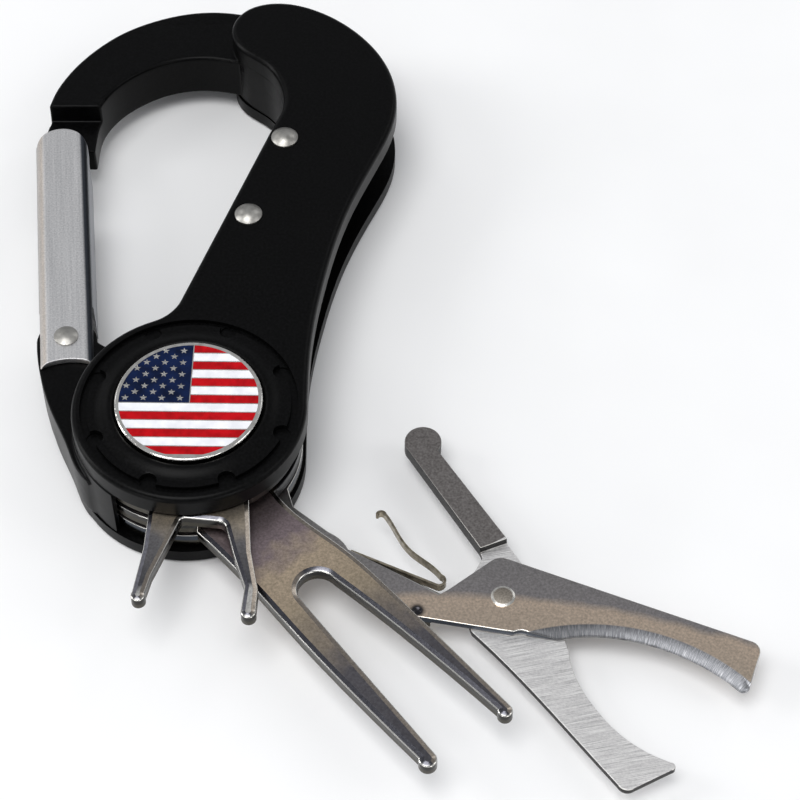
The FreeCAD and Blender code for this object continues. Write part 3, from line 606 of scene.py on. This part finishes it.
fork = plateFromFoot(
    "divot_fork", "forkPolished", forkMetal, toolEdges["shoulder"], toolEdges["fork"], toolEdges["steps"],
    toolEdges["low"], toolEdges["hub"], toolEdges["hubShare"])
wrench = plateFromFoot(
    "cleat_wrench", "wrenchPolished", wrenchMetal, toolEdges["wrenchShoulder"], toolEdges["wrench"],
    toolEdges["steps"], toolEdges["low"], toolEdges["hub"], toolEdges["hubShare"])
arm = softened("cutter_arm", "cutterArmGround", cutterMetal, toolEdges["arm"], 2, shortAfter=toolEdges["armTip"])
blade = softened("cutter_blade", "cutterBladeGround", bladeMetal, toolEdges["blade"], 2)
hook = softened("hook_frame", "hookCoated", black, toolEdges["hook"], 3)
gate = softened("gate_channel", "gateSatin", gateMetal, toolEdges["gate"], 3)
for piece, body, node, slot in (
        (fork, "divot_fork", "divot_fork", "tumbled_steel"),
        (wrench, "cleat_wrench", "cleat_wrench", "tumbled_steel"),
        (arm, "cutter_arm", "cutter_arm", "tumbled_steel"),
        (blade, "cutter_blade", "cutter_blade", "ground_steel"),
        (hook, "frame", "hook_frame", "black_coat"),
        (gate, "gate", "gate_channel", "gate_metal")):
    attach(piece, body)
    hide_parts(node)
print("tools and frame rounded")


# ---- dial round the marker

dialSize = {
    "inner": mm(12.75), "outer": mm(17.2), "foot": mm(17.3), "notches": 8, "notch": mm(1.5),
    "cutDepth": mm(4.0),
    "cutHeight": mm(18.0), "circle": mm(16.9), "first": 24.5, "edge": mm(0.16), "steps": 144,
    "profile": [(12.75, 18.25), (12.95, 18.47), (13.3, 18.6), (13.7, 18.58), (14.15, 18.47), (14.65, 18.3),
                (15.15, 18.13), (15.65, 18.03), (16.2, 17.98), (16.7, 17.96), (17.02, 17.88), (17.2, 17.66)]}


def latheRing(name, profile, turns, finish):
    # closed profile turned about the upright axis
    points = []
    faces = []
    count = len(profile)
    for turn in range(turns):
        angle = 2.0 * math.pi * turn / turns
        for radius, height in profile:
            points.append((radius * math.cos(angle), radius * math.sin(angle), height))
        after = (turn + 1) % turns
        for index in range(count):
            follow = (index + 1) % count
            faces.append((turn * count + index, after * count + index, after * count + follow, turn * count + follow))
    made = plainMesh(name, points, faces, finish)
    bm = bmesh.new()
    bm.from_mesh(made.data)
    bmesh.ops.recalc_face_normals(bm, faces=bm.faces)
    bm.to_mesh(made.data)
    bm.free()
    return made


def notchTree():
    # geometry nodes: a ring of round cutters taken out of the dial
    tree = bpy.data.node_groups.new("dial notches", "GeometryNodeTree")
    face = tree.interface
    face.new_socket("Geometry", in_out="INPUT", socket_type="NodeSocketGeometry")
    face.new_socket("Count", in_out="INPUT", socket_type="NodeSocketInt")
    face.new_socket("Notch Radius", in_out="INPUT", socket_type="NodeSocketFloat")
    face.new_socket("Circle Radius", in_out="INPUT", socket_type="NodeSocketFloat")
    face.new_socket("First Angle", in_out="INPUT", socket_type="NodeSocketFloat")
    face.new_socket("Height", in_out="INPUT", socket_type="NodeSocketFloat")
    face.new_socket("Finish", in_out="INPUT", socket_type="NodeSocketMaterial")
    face.new_socket("Geometry", in_out="OUTPUT", socket_type="NodeSocketGeometry")
    given = add(tree, "NodeGroupInput").outputs
    spots = add(tree, "GeometryNodeMeshCircle", {"Vertices": given["Count"], "Radius": given["Circle Radius"]})
    tilt = add(tree, "ShaderNodeCombineXYZ", {"Z": given["First Angle"]})
    lift = add(tree, "ShaderNodeCombineXYZ", {"Z": given["Height"]})
    turned = add(tree, "GeometryNodeTransform", {
        "Geometry": spots.outputs["Mesh"], "Translation": lift.outputs["Vector"],
        "Rotation": tilt.outputs["Vector"]})
    cutter = add(tree, "GeometryNodeMeshCylinder", {
        "Vertices": 28, "Radius": given["Notch Radius"], "Depth": dialSize["cutDepth"]})
    placed = add(tree, "GeometryNodeInstanceOnPoints", {
        "Points": turned.outputs["Geometry"], "Instance": cutter.outputs["Mesh"]})
    solid = add(tree, "GeometryNodeRealizeInstances", {"Geometry": placed.outputs["Instances"]})
    cut = add(tree, "GeometryNodeMeshBoolean", {
        "Mesh 1": given["Geometry"], "Mesh 2": solid.outputs["Geometry"]}, operation="DIFFERENCE",
        solver="MANIFOLD")
    real = add(tree, "GeometryNodeRealizeInstances", {"Geometry": cut.outputs["Mesh"]})
    done = add(tree, "GeometryNodeSetMaterial", {
        "Geometry": real.outputs["Geometry"], "Material": given["Finish"]})
    add(tree, "NodeGroupOutput", {"Geometry": done.outputs["Geometry"]})
    return tree


def giveInputs(modifier, values):
    # sets a tree's named inputs by their identifiers
    for item in modifier.node_group.interface.items_tree:
        if item.item_type == "SOCKET" and item.in_out == "INPUT" and item.name in values:
            modifier[item.identifier] = values[item.name]


def makeDial():
    profile = [(dialSize["inner"], dialSize["foot"])] + [(mm(r), mm(z)) for r, z in dialSize["profile"]]
    profile.append((dialSize["outer"], dialSize["foot"]))
    ring = latheRing("hubDial", profile, dialSize["steps"], black)
    cuts = ring.modifiers.new("notches", "NODES")
    cuts.node_group = notchTree()
    giveInputs(cuts, {
        "Count": dialSize["notches"], "Notch Radius": dialSize["notch"], "Circle Radius": dialSize["circle"],
        "First Angle": math.radians(dialSize["first"]), "Height": dialSize["cutHeight"], "Finish": black})
    soft = ring.modifiers.new("edges", "BEVEL")
    soft.width = dialSize["edge"]
    soft.segments = 2
    soft.limit_method = "ANGLE"
    soft.angle_limit = math.radians(38.0)
    return applied(ring, 35.0)


dial = makeDial()
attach(dial, "frame")
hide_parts("hub_dial")
print("dial turned")


# ---- stars on the canton

starSize = {"radius": mm(0.7), "inner": mm(0.3), "rise": mm(0.22), "sink": mm(0.06), "rows": 9, "columns": 4,
            "rowPitch": mm(1.27), "columnPitch": mm(3.08), "turn": -0.8, "right": mm(-1.45), "low": mm(0.35),
            "rim": mm(11.75)}


def starTree():
    # geometry nodes: one faceted star on every point
    tree = bpy.data.node_groups.new("raised stars", "GeometryNodeTree")
    face = tree.interface
    face.new_socket("Geometry", in_out="INPUT", socket_type="NodeSocketGeometry")
    face.new_socket("Outer Radius", in_out="INPUT", socket_type="NodeSocketFloat")
    face.new_socket("Inner Radius", in_out="INPUT", socket_type="NodeSocketFloat")
    face.new_socket("Rise", in_out="INPUT", socket_type="NodeSocketFloat")
    face.new_socket("Turn", in_out="INPUT", socket_type="NodeSocketFloat")
    face.new_socket("Finish", in_out="INPUT", socket_type="NodeSocketMaterial")
    face.new_socket("Geometry", in_out="OUTPUT", socket_type="NodeSocketGeometry")
    given = add(tree, "NodeGroupInput").outputs
    outline = add(tree, "GeometryNodeCurveStar", {
        "Points": 5, "Outer Radius": given["Outer Radius"], "Inner Radius": given["Inner Radius"]})
    flat = add(tree, "GeometryNodeFillCurve", {"Curve": outline.outputs["Curve"]}, mode="NGONS")
    raised = add(tree, "GeometryNodeExtrudeMesh", {"Mesh": flat.outputs["Mesh"], "Offset Scale": given["Rise"]})
    peak = add(tree, "GeometryNodeScaleElements", {
        "Geometry": raised.outputs["Mesh"], "Selection": raised.outputs["Top"], "Scale": 0.02})
    under = add(tree, "GeometryNodeFlipFaces", {"Mesh": flat.outputs["Mesh"]})
    whole = add(tree, "GeometryNodeJoinGeometry")
    tree.links.new(peak.outputs["Geometry"], whole.inputs["Geometry"])
    tree.links.new(under.outputs["Mesh"], whole.inputs["Geometry"])
    merged = add(tree, "GeometryNodeMergeByDistance", {
        "Geometry": whole.outputs["Geometry"], "Distance": mm(0.004)})
    spin = add(tree, "ShaderNodeCombineXYZ", {"Z": given["Turn"]})
    placed = add(tree, "GeometryNodeInstanceOnPoints", {
        "Points": given["Geometry"], "Instance": merged.outputs["Geometry"],
        "Rotation": spin.outputs["Vector"]})
    real = add(tree, "GeometryNodeRealizeInstances", {"Geometry": placed.outputs["Instances"]})
    done = add(tree, "GeometryNodeSetMaterial", {
        "Geometry": real.outputs["Geometry"], "Material": given["Finish"]})
    add(tree, "NodeGroupOutput", {"Geometry": done.outputs["Geometry"]})
    return tree


def makeStars():
    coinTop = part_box("marker_coin")[1][2]
    turn = math.radians(starSize["turn"])
    points = []
    for row in range(starSize["rows"]):
        y = starSize["low"] + row * starSize["rowPitch"]
        shift = starSize["columnPitch"] / 2.0 if row % 2 else 0.0
        for column in range(starSize["columns"]):
            x = starSize["right"] - shift - column * starSize["columnPitch"]
            if math.hypot(x, y) < starSize["rim"]:
                points.append((
                    x * math.cos(turn) - y * math.sin(turn), x * math.sin(turn) + y * math.cos(turn),
                    coinTop - starSize["sink"]))
    piece = plainMesh("cantonStars", points, [], coinMetal)
    grow = piece.modifiers.new("stars", "NODES")
    grow.node_group = starTree()
    giveInputs(grow, {
        "Outer Radius": starSize["radius"], "Inner Radius": starSize["inner"], "Rise": starSize["rise"],
        "Turn": math.radians(90.0 + starSize["turn"]), "Finish": coinMetal})
    return applied(piece, 1.0)


stars = makeStars()
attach(stars, "ball_marker")
print("stars struck")


# ---- floor, light and camera

studio = {"floor": "#F6F6F6", "fibre": "#F3F3F3", "floorHalf": 3.0, "floorDrop": mm(0.2), "air": "#E4E6EA", "airStrength": 0.5}
lamps = {
    "overhead": {"place": (-0.25, -0.35, 1.5), "width": 0.9, "height": 0.9, "watts": 13.0},
    "front left strip": {"place": (-0.75, -1.1, 0.25), "width": 0.5, "height": 0.25, "watts": 2.0},
    "front right strip": {"place": (0.7, -1.15, 0.25), "width": 0.45, "height": 0.25, "watts": 1.8},
    "left strip": {"place": (-1.2, 0.1, 0.5), "width": 0.4, "height": 1.0, "watts": 6.0},
    "rear left": {"place": (-0.75, 0.92, 0.92), "width": 0.35, "height": 0.5, "watts": 0.7},
    "rear right": {"place": (0.75, 0.92, 0.92), "width": 0.35, "height": 0.5, "watts": 0.7},
    "right fill": {"place": (1.2, -0.2, 0.9), "width": 0.5, "height": 0.8, "watts": 2.5}}
lit = (0.02, 0.015, 0.01)
view = {"lens": 108.0, "sensor": 36.0, "nearest": 0.01, "place": (0.035487, -0.24563, 0.338094), "tilt": 37.6}


def paleFloor():
    half = studio["floorHalf"]
    low = -studio["floorDrop"]
    corners = [(-half, -half, low), (half, -half, low), (half, half, low), (-half, half, low)]
    floor = plainMesh("floor", corners, [(0, 1, 2, 3)], None)
    made, tree, shader, coord = startMaterial("paper white matt", 0.0, studio["floor"], 0.9)
    fibre = add(tree, "ShaderNodeTexNoise", {"Vector": coord.outputs["Object"], "Scale": 30.0, "Detail": 2.0})
    colour = add(tree, "ShaderNodeValToRGB", {"Fac": fibre.outputs["Fac"]})
    stops(colour, [(0.3, studio["fibre"]), (0.7, studio["floor"])])
    tree.links.new(colour.outputs["Color"], shader.inputs["Base Color"])
    shader.inputs["Specular IOR Level"].default_value = 0.0
    floor.data.materials[0] = made


def softbox(name, place, width, height, watts):
    lamp = bpy.data.lights.new(name, "AREA")
    lamp.shape = "RECTANGLE"
    lamp.size = width
    lamp.size_y = height
    lamp.energy = watts
    made = bpy.data.objects.new(name, lamp)
    scene.collection.objects.link(made)
    made.location = place
    made.rotation_euler = (Vector(lit) - Vector(place)).to_track_quat("-Z", "Y").to_euler()


def camera():
    lens = bpy.data.cameras.new("camera")
    lens.lens = view["lens"]
    lens.sensor_width = view["sensor"]
    lens.clip_start = view["nearest"]
    made = bpy.data.objects.new("camera", lens)
    scene.collection.objects.link(made)
    made.location = view["place"]
    made.rotation_euler = (math.radians(view["tilt"]), 0.0, 0.0)
    scene.camera = made


paleFloor()
for name, lamp in lamps.items():
    softbox(name, **lamp)
world = bpy.data.worlds.new("air")
world.use_nodes = True
world.node_tree.nodes["Background"].inputs["Color"].default_value = paint(studio["air"])
world.node_tree.nodes["Background"].inputs["Strength"].default_value = studio["airStrength"]
scene.world = world
scene.view_settings.view_transform = "Standard"
camera()
print("studio set")
